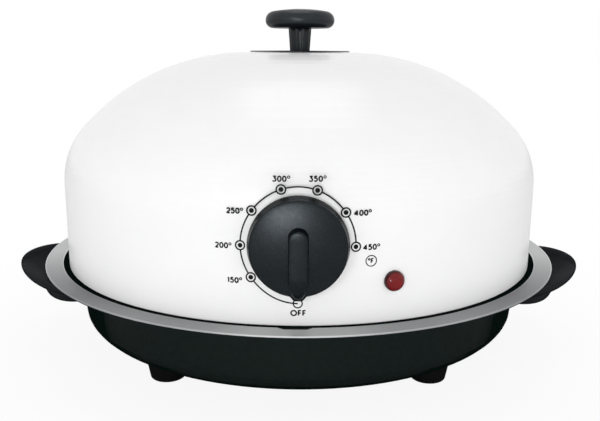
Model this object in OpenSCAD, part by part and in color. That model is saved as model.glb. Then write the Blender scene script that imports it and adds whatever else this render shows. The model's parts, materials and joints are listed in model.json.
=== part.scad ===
// Electric pizza maker: a lift-off heated dome over a shallow non-stick pan.
// Origin: on the table under the pan's axis. +X right, +Y back, +Z up. The dial faces -Y.

/* [Pan] */
// Outer radius of the pan's wall just under its flange
pan_r = 157; // [150:0.5:164]
// How far the wall leans in from the flange to its lower corner
pan_lean = 3.2; // [1:0.1:6]
// Height from the pan's underside to the top of its flange
pan_h = 50.4; // [42:0.1:58]
// Radial width of the rounded lower corner
pan_corner_w = 30.6; // [22:0.1:38]
// Height of the rounded lower corner
pan_corner_h = 17.8; // [12:0.1:22]
// Sheet thickness of the pan
pan_t = 1.2; // [0.8:0.1:2]
// Width of the flange outside the wall
flange_w = 21; // [19:0.5:24]

/* [Rim ring] */
// How far the bright ring reaches past the flange's edge
ring_over = 1.2; // [0.5:0.1:4]
// Radial width of the bright ring
ring_w = 11.6; // [10:0.1:13.4]
// Sheet thickness of the bright ring
ring_t = 0.8; // [0.6:0.1:1.6]
// Width of the notch in the ring's inner edge, at its mouth
notch_w = 20.5; // [10:0.5:30]
// Depth of the notch
notch_depth = 2.2; // [1:0.1:5]
// Angle of the notch round the dome from the dial
notch_az = -0.5; // [-5:0.1:5]

/* [Feet] */
// Height of a foot
foot_h = 15; // [10:0.5:22]
// Radius of a foot where it meets the pan
foot_r = 14; // [12:0.25:15]
// How much a foot narrows towards the table
foot_taper = 2.5; // [0:0.1:3]
// Rounding of a foot's lower edge
foot_round = 2; // [1:0.25:4]
// Distance of the feet from the pan's axis
foot_circle_r = 119.5; // [100:0.5:124]

/* [Handles] */
// How far an ear stands out past the pan's wall
ear_reach = 46.5; // [38:0.2:56]
// Depth of an ear in X, from its centre line to its tip
ear_rx = 47.6; // [36:0.2:56]
// Half length of an ear in Y
ear_ry = 54; // [42:0.5:62]
// Thickness of an ear
ear_t = 13.1; // [9:0.1:16]
// Height of the ear's top above the table at its tip
ear_top = 61.1; // [55:0.1:63]
// Upward tilt of an ear
ear_tilt = 12.3; // [4:0.1:15]
// Radial width of the rounding over an ear's edge
ear_edge = 10; // [5:0.2:12]
// Radial width of the rounding under an ear's edge
ear_under = 22; // [12:0.5:26]
// How far the root block stands out past the pan's wall
root_reach = 31.4; // [22:0.2:36]
// Half length of the root block in Y
root_ry = 41.6; // [34:0.2:48]
// Height of the root block's underside above the table
root_bottom = 33.3; // [28:0.1:38]

/* [Dome] */
// How far the dome's straight wall stands outside the pan's wall
dome_over = 6.65; // [5.5:0.05:7.5]
// Height of the dome from its lower edge to its crown
dome_h = 141.3; // [130:0.1:155]
// Radius of the shoulder
shoulder_r = 52.2; // [42:0.1:60]
// Angle from the axis at which the shoulder becomes the long upper curve
shoulder_a = 48.1; // [44:0.1:54]
// Radius of the nearly flat crown
crown_land_r = 40.2; // [36:0.1:50]
// Slope at the edge of the crown
crown_a = 1.16; // [0.8:0.02:2]
// Sheet thickness of the dome
shell_t = 0.8; // [0.6:0.05:1.2]
// Width of the hem turned in at the lower edge
hem_w = 3.2; // [2.2:0.1:4]

/* [Liner] */
// Sheet thickness of the liner
liner_t = 0.8; // [0.5:0.05:1.2]
// Height of the liner's ceiling above its flange
liner_h = 81.7; // [72:0.1:90]
// Radius between the liner's wall and ceiling
liner_round = 22; // [12:0.5:28]
// Height of the liner's sloping lower wall
liner_slope_h = 25; // [18:0.5:30]
// How far the skirt drops below the liner's flange
skirt_drop = 7; // [4:0.25:12]

/* [Lid knob] */
// Radius of the knob's cap
cap_r = 24.1; // [20:0.1:28]
// Rounding of the cap's upper edge
cap_edge_r = 6.2; // [3:0.1:7]
// Rounding of the cap's lower edge
cap_under_r = 5.2; // [3:0.1:6]
// Crowning of the cap's top
cap_crown_h = 1.5; // [1:0.1:4]
// Height of the stem
stem_h = 15.3; // [10:0.1:22]
// Radius of the stem under the cap
stem_r = 7.95; // [6.5:0.05:9]
// How much the stem narrows towards its foot
stem_taper = 1; // [0.2:0.1:1.4]
// Number of flutes round the stem
flutes = 10; // [8:1:16]
// Radius of each flute's hollow
flute_r = 3.2; // [2:0.1:4]
// Depth of the flutes
flute_depth = 0.7; // [0.4:0.05:1]
// Radius of the black plate under the stem
plate_r = 35; // [28:0.5:38]
// Thickness of the plate
plate_t = 1; // [0.8:0.1:2]
// Radius of the stud that holds the knob, dome and liner together
stud_r = 2.5; // [2:0.1:3]
// Depth of the stud inside the knob
stud_grip = 18; // [12:0.5:20]

/* [Dial] */
// Height of the dial's axis above the dome's lower edge
dial_up = 44.3; // [40:0.1:47]
// Radius of the dial's skirt
dial_r = 26.6; // [24:0.1:28]
// How much the dial narrows from its skirt to its face
dial_taper = 1.2; // [0.6:0.1:3]
// Depth of the dial's side wall
dial_side = 7.6; // [5:0.1:9]
// Crowning of the dial's face
dial_crown = 1.6; // [1:0.1:3]
// Wall thickness of the dial
dial_t = 1.8; // [1.4:0.1:2.4]
// Width of the grip bar
grip_w = 10.8; // [8:0.1:12]
// Height of the grip bar above the edge of the face
grip_h = 7.2; // [5:0.1:9]
// Reach of the pointed nose from the dial's axis
nose_reach = 27.9; // [26.8:0.1:31]
// Gap between the dial and the dome
dial_gap = 1.5; // [1:0.1:2.5]

/* [Thermostat] */
// Radius of the thermostat's can
stat_r = 20; // [17:0.25:22]
// Depth of the thermostat's can
stat_depth = 18; // [14:0.25:20]
// Radius of its shaft
shaft_r = 3; // [2.5:0.05:3.5]
// Radius of its threaded nose
nose_r = 5; // [4.5:0.1:6]
// Half the distance between its two screws
stat_screw_x = 14; // [12:0.25:16]
// Thickness of its bracket
bracket_t = 1.2; // [0.8:0.1:2]
// Radius of the sensor bulb
bulb_r = 2.8; // [2:0.1:3.2]
// Length of the sensor bulb
bulb_l = 62; // [40:1:80]
// Radius of the capillary tube
capillary_r = 0.9; // [0.6:0.05:1.2]

/* [Lamp] */
// Radius of the lamp's lens
lens_r = 5.7; // [5:0.1:7]
// How far the lens stands out
lens_h = 4.2; // [2.5:0.1:5]
// Angle of the lamp round the dome from the dial
lamp_az = 18.1; // [16:0.1:26]
// Height of the lamp above the dome's lower edge
lamp_up = 23.1; // [20:0.1:30]
// Radius of the lamp's barrel
barrel_r = 4.2; // [3.5:0.1:5]

/* [Heating element] */
// Distance of the ring's centre line inside the edge of the ceiling's flat part
ring_inset = 5.5; // [5.3:0.1:14]
// Radius of the element's tube
tube_r = 3.25; // [3:0.05:4]
// Distance of the element below the liner's ceiling
tube_drop = 13; // [11:0.5:18]
// Bend radius where the ring turns up into its cold ends
tube_bend = 9; // [8:0.25:9.75]
// Half the angle of the ring's gap
ring_gap_a = 14.9; // [13:0.1:18]

/* [Inlet] */
// Width of the inlet's flange
inlet_w = 50; // [48:0.5:54]
// Height of the inlet's flange
inlet_h = 24; // [23:0.25:27]
// How far the flange stands out of the dome
inlet_out = 2.5; // [1.5:0.1:4]
// Depth of the socket
socket_depth = 17; // [15:0.25:18]
// Half the distance between the inlet's screws
inlet_screw_x = 20; // [19:0.25:22]

/* [Wiring] */
// Radius of a wire over its insulation
wire_r = 1.4; // [1:0.05:1.6]
// Radius of a lamp wire over its insulation
lamp_wire_r = 0.7; // [0.5:0.05:0.9]
// Bend radius of the wires
wire_bend = 8; // [5:0.25:10]

/* [Fits] */
// Gap between the dome's hem and the pan's flange
seat_gap = 0.3; // [0.2:0.05:0.5]
// Gap between parts that lie against a curved wall
lay_gap = 0.15; // [0.05:0.05:0.3]
// Radial running clearance of the shaft in its nose
run_gap = 0.05; // [0.02:0.01:0.1]
// Radial clearance of a screw or barrel in its hole
hole_gap = 0.2; // [0.1:0.05:0.4]
// Radial gap between the liner's skirt and the pan
skirt_gap = 1.8; // [1:0.1:3]

/* [Hidden] */
$fn = 96;
eps = 0.01;

// Heights above the table, from the feet up
pan_z = foot_h;
flange_z = pan_z + pan_h;
dome_z = flange_z + seat_gap;
crown_z = dome_z + dome_h;
hem_z = dome_z + shell_t;
liner_z = hem_z + lay_gap + liner_t;
ceiling_z = liner_z + liner_h;
dial_z = dome_z + dial_up;
lamp_z = dome_z + lamp_up;

// Radii from the axis out
flange_r = pan_r + flange_w;
dome_r = pan_r + dome_over;
ring_r = flange_r + ring_over;
ring_in_r = ring_r - ring_w;
shell_in_r = dome_r - shell_t;
wall_slope = pan_lean / (pan_h - pan_t - pan_corner_h);
skirt_r = pan_r - pan_t - skirt_gap - wall_slope * skirt_drop;

// The dome's long upper curve joins the shoulder to the crown
mid_r = (dome_r - shoulder_r * (1 - sin(shoulder_a)) - crown_land_r)
    / (sin(shoulder_a) - sin(crown_a));
crown_r = crown_land_r / sin(crown_a);
mid_c = [crown_land_r - mid_r * sin(crown_a),
    crown_z - crown_r * (1 - cos(crown_a)) - mid_r * cos(crown_a)];
shoulder_c = [dome_r - shoulder_r,
    mid_c[1] + (mid_r - shoulder_r) * cos(shoulder_a)];

// Screws
screw_r = 2;
head_r = 3.6;
head_h = 1.6;
handle_screw_a = 7.5;
handle_screw_z = (root_bottom + ear_top) / 2 - 2;
handle_screw_l = 17;
handle_screw_inset = 0.5;
foot_screw_r = 2;
foot_head_r = 3.8;
foot_head_h = 2.4;
foot_bush_r = 4;
foot_web = 3;
foot_head_room = 4.5;
foot_bush_h = foot_h - foot_web - foot_head_room;

// The thermostat stands behind the dome's front wall, and the liner behind it
bracket_hw = stat_screw_x + 4;
bracket_y = sqrt(pow(shell_in_r, 2) - pow(bracket_hw, 2)) - lay_gap;
stat_front = bracket_y - bracket_t;
stat_back = stat_front - stat_depth;
tab_l = 6;
tab_w = 6.3;
tab_t = 0.8;
stat_tab_x = 12;
lead_r = norm([stat_tab_x, stat_back - tab_l / 2]);
lead_z = dial_z - 12;
bulb_lay_r = stat_back - tab_l - 1.5 - bulb_r;
liner_r = bulb_lay_r - bulb_r - lay_gap;
liner_slope_z = liner_z + liner_slope_h;

// The sensor bulb lies on the liner's wall, turned round from the dial
bulb_half_a = atan(bulb_l / 2 / bulb_lay_r);
bulb_a = 50 + bulb_half_a;
bulb_z = dial_z + stat_r / 2;
nose_out = 1;

// Heating element
ring_heat_r = liner_r - liner_round - ring_inset;
tube_z = ceiling_z - tube_drop;
gap_dir = 90 + ring_gap_a;
cold_end = ring_heat_r * [cos(gap_dir), sin(gap_dir)]
    + tube_bend * [sin(gap_dir), -cos(gap_dir)];
bush_r = 5.3;
bush_flange_h = 2.5;
cold_top = ceiling_z + bush_flange_h + 1;
tip_r = 1.6;
tip_h = 8;
tip_z = cold_top + tip_h / 2;

// Leads and their crimp sleeves
lead_gap = 0.55;
crimp_r = 2.3;
crimp_l = 9;
crimp_over = 0.1;
lead_end_gap = tab_t / 2 + lead_gap;

// Inlet, in the middle of the back wall
inlet_z = lead_z + 2;
pin_x = 7;
pin_drop = 2;
socket_w = 24.4;
socket_h = 16.8;
socket_wall = 1.8;
pin_l = 11;
pin_w = 4;
pin_t = 2;
inlet_screw_l = 9;
inlet_back = dome_r + inlet_out - socket_depth - socket_wall;

// Lamp
lamp_tail_r = lead_r + lamp_wire_r + lay_gap;

// Knob
cap_z = crown_z + plate_t + stem_h;
cap_edge_a = 90 - 2 * atan(cap_crown_h / (cap_r - cap_edge_r));
cap_crown_r = (cap_r - cap_edge_r) / cos(cap_edge_a) + cap_edge_r;
spacer_r = 5;
washer_r = 9;
washer_t = 1.2;
nut_h = 4;
nut_r = 1.85 * stud_r;

// Dial: depths outward from the dome's wall
dial_face = dial_gap + dial_side;
dial_face_r = dial_r - dial_taper;
hub_r = 6.2;
grip_y = 6.8;
grip_lean = 1.1;
nose_root = 16;
nose_tip_r = 2.4;
nose_tip_hw = 1.75;
nose_edge_r = 1.2;
nose_root_hw = 5.4;
hub_lift = 0.3;
shaft_flat = 0.8;
shaft_out = dial_face + grip_h * 0.45;

// ---- Shapes shared by several parts ----

// Points along an arc about c, from angle a0 to a1
function arc(c, r, a0, a1, n) =
    [for (i = [0:n]) let (a = a0 + (a1 - a0) * i / n) c + r * [cos(a), sin(a)]];

// Points along a quarter of an ellipse with half axes w and h
function oval(c, w, h, a0, a1, n) =
    [for (i = [0:n]) let (a = a0 + (a1 - a0) * i / n) c + [w * cos(a), h * sin(a)]];

function reversed(list) = [for (i = [len(list) - 1:-1:0]) list[i]];

// Half outline of the dome from its lower edge to its crown, set in by some amount
function dome_curve(inset) = concat(
    [[dome_r - inset, hem_z]],
    arc(shoulder_c, shoulder_r - inset, 0, 90 - shoulder_a, 10),
    arc(mid_c, mid_r - inset, 90 - shoulder_a + 3, 90 - crown_a, 14),
    [[0, crown_z - inset]]);

// Inner radius of the dome's sheet at a height on its wall or shoulder
function shell_in_at(z) =
    let (up = max(0, z - shoulder_c[1]))
    shoulder_c[0] + sqrt(pow(shoulder_r - shell_t, 2) - pow(up, 2));

// Half outline of the pan's outside from its centre to its flange, set in by some amount
function pan_curve(inset) = concat(
    [[0, pan_z + inset]],
    oval([pan_r - pan_lean - pan_corner_w, pan_z + pan_corner_h],
        pan_corner_w - inset, pan_corner_h - inset, -90, 0, 10),
    [[pan_r - inset, flange_z - pan_t]]);

// Local +Z points straight out of the dome's wall, at an angle round from the dial
module on_wall(az, z) {
    rotate([0, 0, az])
        translate([0, -dome_r, z])
            rotate([90, 0, 0])
                children();
}

// A skin over a stack of rings that all have as many points, closed at both ends
module loft(rings) {
    n = len(rings[0]);
    top = (len(rings) - 1) * n;
    polyhedron(
        points = [for (ring = rings) each ring],
        faces = concat(
            [[for (i = [0:n - 1]) i]],
            [[for (i = [n - 1:-1:0]) top + i]],
            [for (j = [0:len(rings) - 2], i = [0:n - 1], half = [0, 1])
                let (a = j * n + i, b = j * n + (i + 1) % n)
                half == 0 ? [a, a + n, b + n] : [a, b + n, b]]));
}

function unit(v) = v / norm(v);

// The direction of travel at each point of a path
function headings(path) = [for (i = [0:len(path) - 1])
    unit(path[min(i + 1, len(path) - 1)] - path[max(i - 1, 0)])];

// A side direction at each point of a path, carried along without twist
function sides(way) = [
    for (i = 0, s = unit(cross(way[0], abs(way[0][2]) < 0.9 ? [0, 0, 1] : [1, 0, 0]));
        i < len(way);
        i = i + 1, s = i < len(way) ? unit(s - (s * way[i]) * way[i]) : s) s];

// A round lead or tube along a path, with n sides
module lead(path, r, n = 8) {
    way = headings(path);
    side = sides(way);
    loft([for (i = [0:len(path) - 1])
        let (up = cross(way[i], side[i]))
        [for (k = [0:n - 1]) let (a = k * 360 / n)
            path[i] + r * (cos(a) * side[i] + sin(a) * up)]]);
}

// Points on the way through some corners, each corner rounded by an arc-like curve
function eased(corners, bend) = [
    for (i = [0:len(corners) - 1])
        if (i == 0 || i == len(corners) - 1) corners[i]
        else
            let (c = corners[i],
                u = c + bend * unit(corners[i - 1] - c),
                v = c + bend * unit(corners[i + 1] - c))
            each [for (k = [0:5]) let (t = k / 5)
                (1 - t) * (1 - t) * u + 2 * t * (1 - t) * c + t * t * v]];

// Points round the axis at one height, from one angle to another
function ring_path(path_r, z, a0, a1) =
    let (n = ceil(abs(a1 - a0) / 6))
    [for (i = [0:n]) let (a = a0 + (a1 - a0) * i / n)
        [path_r * cos(a), path_r * sin(a), z]];

// A pan-head screw whose head sits on z = 0 and whose shank points down
module screw(l, r = screw_r, hr = head_r, hh = head_h) {
    translate([0, 0, -l]) cylinder(h = l + eps, r = r, $fn = 32);
    difference() {
        rotate_extrude($fn = 48)
            polygon(concat([[0, 0]], [[hr, 0]],
                oval([hr - hh, 0], hh, hh, 0, 90, 4), [[0, hh]]));
        for (a = [0, 90])
            rotate([0, 0, a])
                translate([-hr / 2, -hr / 8, hh / 2])
                    cube([hr, hr / 4, hh]);
    }
}

// ---- Base ----

module pan() {
    color([0.11, 0.12, 0.12])
        difference() {
            rotate_extrude($fn = 180)
                polygon(concat(
                    pan_curve(0),
                    [[flange_r, flange_z - pan_t], [flange_r, flange_z],
                        [pan_r - pan_t, flange_z]],
                    reversed(pan_curve(pan_t))));
            for_handle_screws()
                cylinder(h = 4 * pan_t, r = screw_r + hole_gap, center = true, $fn = 32);
        }
}

module rim_ring() {
    mouth_y = ring_in_r - 1;
    low = flange_z + run_gap;
    color([0.68, 0.68, 0.69])
        difference() {
            rotate_extrude($fn = 180)
                polygon([[ring_in_r, low], [ring_r, low], [ring_r, low + ring_t * 0.8],
                    [ring_r - ring_t / 4, low + ring_t], [ring_in_r, low + ring_t]]);
            rotate([0, 0, notch_az])
                translate([0, 0, low - 2])
                    linear_extrude(ring_t + 4)
                        polygon([
                            [-notch_w / 2, -mouth_y + 3], [-notch_w / 2, -mouth_y],
                            [-notch_w * 0.29, -ring_in_r - notch_depth],
                            [notch_w * 0.29, -ring_in_r - notch_depth],
                            [notch_w / 2, -mouth_y], [notch_w / 2, -mouth_y + 3]]);
        }
}

// Places its children where the handle screws pass the pan's wall, +Z pointing in
module for_handle_screws() {
    wall_r = pan_r - wall_slope * (flange_z - pan_t - handle_screw_z) - pan_t;
    for (side = [0, 180], az = [-handle_screw_a, handle_screw_a])
        rotate([0, 0, side + az])
            translate([wall_r, 0, handle_screw_z])
                rotate([0, -90, 0])
                    children();
}

// The space of the pan and its flange, with room to seat against
module pan_room() {
    rotate_extrude($fn = 180)
        polygon([
            [0, pan_z - 5],
            [pan_r - pan_lean - pan_corner_w / 3, pan_z - 5],
            [pan_r - pan_lean + lay_gap, pan_z + pan_corner_h],
            [pan_r + lay_gap, flange_z - pan_t - 1.2],
            [flange_r + 40, flange_z - pan_t - 1.2],
            [flange_r + 40, flange_z + 20],
            [0, flange_z + 20]]);
}

// One level oval of a slab
function oval_ring(rx, ry, z) =
    [for (i = [0:47]) [rx * cos(i * 7.5), ry * sin(i * 7.5), z]];

// An oval slab with soft edges, up from z = 0. Each rounding has a radial width and a height.
module soft_slab(rx, ry, t, under, over) {
    outline = concat(
        oval([-under[0], under[1]], under[0], under[1], -75, 0, 4),
        oval([-over[0], t - over[1]], over[0], over[1], 0, 75, 3));
    loft(concat(
        [oval_ring(rx - under[0], ry - under[0], 0)],
        [for (p = outline) oval_ring(rx + p[0], ry + p[0], p[1])],
        [oval_ring(rx - over[0], ry - over[0], t)]));
}

// The right-hand handle; the left one is its mirror image
module handle() {
    ear_high = 2.6;
    ear_low = ear_t * 0.8;
    tip_x = pan_r + ear_reach;
    root_x = pan_r + root_reach;
    root_rx = 29;
    root_h = 15;
    root_edge = 5.8;
    root_low = 8.4;
    color([0.13, 0.14, 0.15])
        difference() {
            union() {
                translate([tip_x, 0, ear_top])
                    rotate([0, -ear_tilt, 0])
                        translate([-ear_rx, 0, -ear_t])
                            soft_slab(ear_rx, ear_ry, ear_t, [ear_under, ear_low],
                                [ear_edge, ear_high]);
                translate([root_x - root_rx, 0, root_bottom])
                    soft_slab(root_rx, root_ry, root_h, [root_edge, root_low],
                        [root_edge, 1]);
            }
            pan_room();
            for_handle_screws()
                translate([0, 0, -handle_screw_l - 1])
                    cylinder(h = handle_screw_l + 1, r = screw_r + run_gap, $fn = 32);
        }
}

module handle_right() {
    handle();
}

module handle_left() {
    mirror([1, 0, 0]) handle();
}

module handle_screws() {
    color("silver")
        for_handle_screws()
            translate([0, 0, handle_screw_inset]) screw(handle_screw_l);
}

// A moulded foot with a pocket for its bush above and its screw's head below
module foot() {
    foot_bottom_r = foot_r - foot_taper;
    color([0.12, 0.12, 0.12])
        difference() {
            rotate_extrude($fn = 64)
                polygon(concat(
                    [[0, 0]],
                    arc([foot_bottom_r - foot_round, foot_round], foot_round, -90, 0, 6),
                    [[foot_r, foot_h], [0, foot_h]]));
            translate([0, 0, foot_h - foot_bush_h - lay_gap])
                cylinder(h = foot_bush_h + 1, r = foot_bush_r + hole_gap, $fn = 48);
            translate([0, 0, -1])
                cylinder(h = foot_h + 2, r = foot_screw_r + hole_gap, $fn = 32);
            translate([0, 0, -1])
                cylinder(h = foot_head_room + 1, r = foot_head_r + 1, $fn = 48);
        }
}

// Places its children under the pan at one corner of the foot circle
module at_foot(a) {
    rotate([0, 0, a]) translate([foot_circle_r, 0, 0]) children();
}

module foot_rear_right() {
    at_foot(45) foot();
}

module foot_rear_left() {
    at_foot(135) foot();
}

module foot_front_left() {
    at_foot(225) foot();
}

module foot_front_right() {
    at_foot(315) foot();
}

// Threaded bushes welded to the pan's underside
module foot_bushes() {
    color("silver")
        for (a = [45:90:315])
            at_foot(a)
                translate([0, 0, foot_h - foot_bush_h])
                    difference() {
                        cylinder(h = foot_bush_h, r = foot_bush_r, $fn = 48);
                        translate([0, 0, -1])
                            cylinder(h = foot_bush_h + 2, r = foot_screw_r + run_gap, $fn = 32);
                    }
}

module foot_screws() {
    color("silver")
        for (a = [45:90:315])
            at_foot(a)
                translate([0, 0, foot_head_room - lay_gap])
                    rotate([180, 0, 0])
                        screw(foot_h - foot_head_room - 1, foot_screw_r, foot_head_r,
                            foot_head_h);
}

// ---- Dome ----

module dome_shell() {
    color([0.94, 0.94, 0.93])
        difference() {
            rotate_extrude($fn = 180)
                polygon(concat(
                    [[dome_r - hem_w, hem_z], [dome_r - hem_w, dome_z],
                        [dome_r - shell_t / 2, dome_z], [dome_r, dome_z + shell_t / 2]],
                    dome_curve(0),
                    reversed(dome_curve(shell_t))));
            translate([0, 0, crown_z - 5])
                cylinder(h = 10, r = stud_r + hole_gap, $fn = 32);
            on_wall(0, dial_z) {
                cylinder(h = 20, r = nose_r + hole_gap, center = true, $fn = 48);
                for (x = [-stat_screw_x, stat_screw_x])
                    translate([x, 0, 0])
                        cylinder(h = 20, r = screw_r + hole_gap, center = true, $fn = 32);
            }
            on_wall(lamp_az, lamp_z)
                cylinder(h = 20, r = barrel_r + hole_gap, center = true, $fn = 48);
            on_wall(180, inlet_z) {
                inlet_block(socket_wall + hole_gap, 20);
                for (x = [-inlet_screw_x, inlet_screw_x])
                    translate([x, 0, 0])
                        cylinder(h = 20, r = screw_r + hole_gap, center = true, $fn = 32);
            }
        }
}

// The pressed inner shell: flange, skirt, sloping wall and ceiling
module liner() {
    flange_tip = shell_in_r - lay_gap;
    color([0.78, 0.78, 0.77])
        difference() {
            rotate_extrude($fn = 180)
                polygon(concat(
                    [[flange_tip, liner_z - liner_t], [flange_tip, liner_z],
                        [skirt_r, liner_z], [liner_r, liner_slope_z]],
                    arc([liner_r - liner_round, ceiling_z - liner_round],
                        liner_round, 0, 90, 8),
                    [[0, ceiling_z], [0, ceiling_z - liner_t]],
                    arc([liner_r - liner_round, ceiling_z - liner_round],
                        liner_round - liner_t, 90, 0, 8),
                    [[liner_r - liner_t, liner_slope_z - liner_t / 2],
                        [skirt_r - liner_t, liner_z - liner_t / 2],
                        [skirt_r - liner_t, liner_z - skirt_drop],
                        [skirt_r, liner_z - skirt_drop],
                        [skirt_r, liner_z - liner_t]]));
            translate([0, 0, ceiling_z - 5])
                cylinder(h = 10, r = stud_r + hole_gap, $fn = 32);
            for_cold_ends()
                cylinder(h = 20, r = bush_r + hole_gap, center = true, $fn = 48);
        }
}

// Places its children on the axes of the element's two cold ends, at the ceiling
module for_cold_ends() {
    for (side = [-1, 1])
        translate([side * cold_end[0], cold_end[1], ceiling_z])
            children();
}

// The way from a cold end's top down and round its bend, to where the ring starts
function cold_way() =
    let (ring_end = ring_heat_r * [cos(gap_dir), sin(gap_dir), 0],
        back = [sin(gap_dir), -cos(gap_dir), 0])
    concat([[cold_end[0], cold_end[1], cold_top]],
        [for (t = [90:-15:15])
            ring_end + tube_bend * sin(t) * back + [0, 0, tube_z + tube_bend * (1 - cos(t))]]);

// A tubular element: an open ring whose two cold ends turn up through the ceiling
module heating_element() {
    way = cold_way();
    color([0.35, 0.35, 0.36]) {
        lead(concat(way,
            ring_path(ring_heat_r, tube_z, gap_dir, 540 - gap_dir),
            [for (p = reversed(way)) [-p[0], p[1], p[2]]]), tube_r, 16);
        for_cold_ends()
            translate([0, 0, cold_top - ceiling_z - 1])
                cylinder(h = tip_h + 1, r = tip_r, $fn = 32);
    }
}

// Ceramic bushes round the cold ends
module element_bushes() {
    color([0.9, 0.88, 0.83])
        for_cold_ends()
            difference() {
                union() {
                    translate([0, 0, -liner_t - 2])
                        cylinder(h = liner_t + 2 + eps, r = bush_r, $fn = 48);
                    cylinder(h = bush_flange_h, r = bush_r + 2.5, $fn = 48);
                }
                cylinder(h = 20, r = tube_r + lay_gap, center = true, $fn = 48);
            }
}

// Hangers that hold the ring under the ceiling
module element_clips() {
    clip_t = 1.2;
    clip_w = 2 * tube_r + 4;
    clip_h = tube_drop - liner_t + tube_r + 2;
    color("silver")
        for (a = [200, 270, 340])
            rotate([0, 0, a])
                translate([ring_heat_r, 0, tube_z]) {
                    difference() {
                        translate([-clip_w / 2, -clip_t / 2, -tube_r - 2])
                            cube([clip_w, clip_t, clip_h]);
                        rotate([90, 0, 0])
                            cylinder(h = 3, r = tube_r + lay_gap, center = true, $fn = 48);
                    }
                    translate([-clip_w / 2, -clip_w / 2, tube_drop - liner_t - clip_t])
                        cube([clip_w, clip_w, clip_t]);
                }
}

// The thermostat's can with its threaded nose, bored for the shaft
module thermostat_body() {
    back_d = dome_r - stat_back;
    front_d = dome_r - stat_front;
    color([0.75, 0.75, 0.72])
        on_wall(0, dial_z)
            difference() {
                union() {
                    translate([0, 0, -back_d])
                        cylinder(h = stat_depth, r = stat_r, $fn = 96);
                    translate([0, 0, -front_d - eps])
                        cylinder(h = front_d + nose_out, r = nose_r, $fn = 48);
                }
                translate([0, 0, -back_d + 3])
                    cylinder(h = back_d + 10, r = shaft_r + run_gap, $fn = 48);
            }
}

module thermostat_tabs() {
    color("gold")
        for (x = [-stat_tab_x, stat_tab_x])
            translate([x - tab_t / 2, -stat_back, lead_z - tab_w / 2])
                cube([tab_t, tab_l, tab_w]);
}

module thermostat_bracket() {
    front_d = dome_r - bracket_y;
    color("silver")
        on_wall(0, dial_z)
            translate([0, 0, -front_d - bracket_t])
                difference() {
                    linear_extrude(bracket_t)
                        offset(r = 3)
                            square([2 * bracket_hw - 6, stat_r], center = true);
                    translate([0, 0, -1])
                        cylinder(h = bracket_t + 2, r = nose_r + hole_gap, $fn = 48);
                    for (x = [-stat_screw_x, stat_screw_x])
                        translate([x, 0, -1])
                            cylinder(h = bracket_t + 2, r = screw_r + run_gap, $fn = 32);
                }
}

// How far the wall has fallen back, at a distance x from the middle of a flat piece
function wall_fall(x) = dome_r - sqrt(pow(dome_r, 2) - pow(x, 2));

module thermostat_screws() {
    head_at = -wall_fall(stat_screw_x - head_r) + lay_gap;
    color("silver")
        on_wall(0, dial_z)
            for (x = [-stat_screw_x, stat_screw_x])
                translate([x, 0, head_at])
                    screw(dome_r - stat_front + head_at - 0.1);
}

// Capillary from the thermostat's back round to the sensor bulb on the liner's wall
module sensor_bulb() {
    path_r = norm([bulb_lay_r, bulb_l / 2]);
    out_a = 6;
    end_a = 0.8;
    path = concat(
        eased([[path_r * sin(out_a / 3), -stat_back + run_gap, bulb_z],
            [path_r * sin(out_a / 3), -path_r * cos(out_a / 3), bulb_z],
            path_r * [sin(out_a), -cos(out_a), 0] + [0, 0, bulb_z]], 2.5),
        ring_path(path_r, bulb_z, out_a + 3 - 90, bulb_a - bulb_half_a + end_a - 90));
    color([0.72, 0.45, 0.25]) {
        lead(path, capillary_r);
        rotate([0, 0, bulb_a])
            translate([-bulb_l / 2, -bulb_lay_r, bulb_z])
                rotate([0, 90, 0])
                    cylinder(h = bulb_l, r = bulb_r, $fn = 48);
    }
}

// Spring clips that hold the bulb on the liner's wall
module bulb_clips() {
    clip_w = 5;
    clip_t = 0.8;
    clip_r = bulb_r + lay_gap;
    color("silver")
        for (x = [-bulb_l / 4, bulb_l / 4])
            rotate([0, 0, bulb_a])
                translate([x - clip_w / 2, -bulb_lay_r, bulb_z])
                    rotate([0, 90, 0])
                        difference() {
                            union() {
                                cylinder(h = clip_w, r = clip_r + clip_t, $fn = 48);
                                translate([-bulb_r - 4, bulb_r - 2.4, 0])
                                    cube([2 * bulb_r + 8, clip_t, clip_w]);
                            }
                            translate([0, 0, -1])
                                cylinder(h = clip_w + 2, r = clip_r, $fn = 48);
                            translate([-20, bulb_r - 1.6, -1]) cube([40, 20, clip_w + 2]);
                        }
}

// ---- Lamp ----

module lamp_lens() {
    color([0.6, 0.08, 0.1])
        on_wall(lamp_az, lamp_z)
            translate([0, 0, lay_gap])
                rotate_extrude($fn = 64)
                    polygon(concat([[0, 0], [lens_r, 0]],
                        oval([0, 1], lens_r, lens_h - 1, 0, 90, 8)));
}

module lamp_barrel() {
    color([0.85, 0.85, 0.82])
        on_wall(lamp_az, lamp_z)
            translate([0, 0, lamp_tail_r - dome_r])
                cylinder(h = dome_r - lamp_tail_r, r = barrel_r, $fn = 48);
}

module lamp_nut() {
    lamp_nut_h = 3;
    color("silver")
        on_wall(lamp_az, lamp_z)
            translate([0, 0, -shell_t - 2 * lay_gap - lamp_nut_h])
                difference() {
                    cylinder(h = lamp_nut_h, r = barrel_r + 3, $fn = 6);
                    translate([0, 0, -1])
                        cylinder(h = lamp_nut_h + 2, r = barrel_r + run_gap, $fn = 48);
                }
}

// ---- Inlet ----

// The inlet's block with rounded corners, grown by some amount all round
module inlet_block(grow, h) {
    translate([0, 0, -h])
        linear_extrude(2 * h)
            offset(r = 2)
                square([socket_w + 2 * grow - 4, socket_h + 2 * grow - 4], center = true);
}

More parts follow.
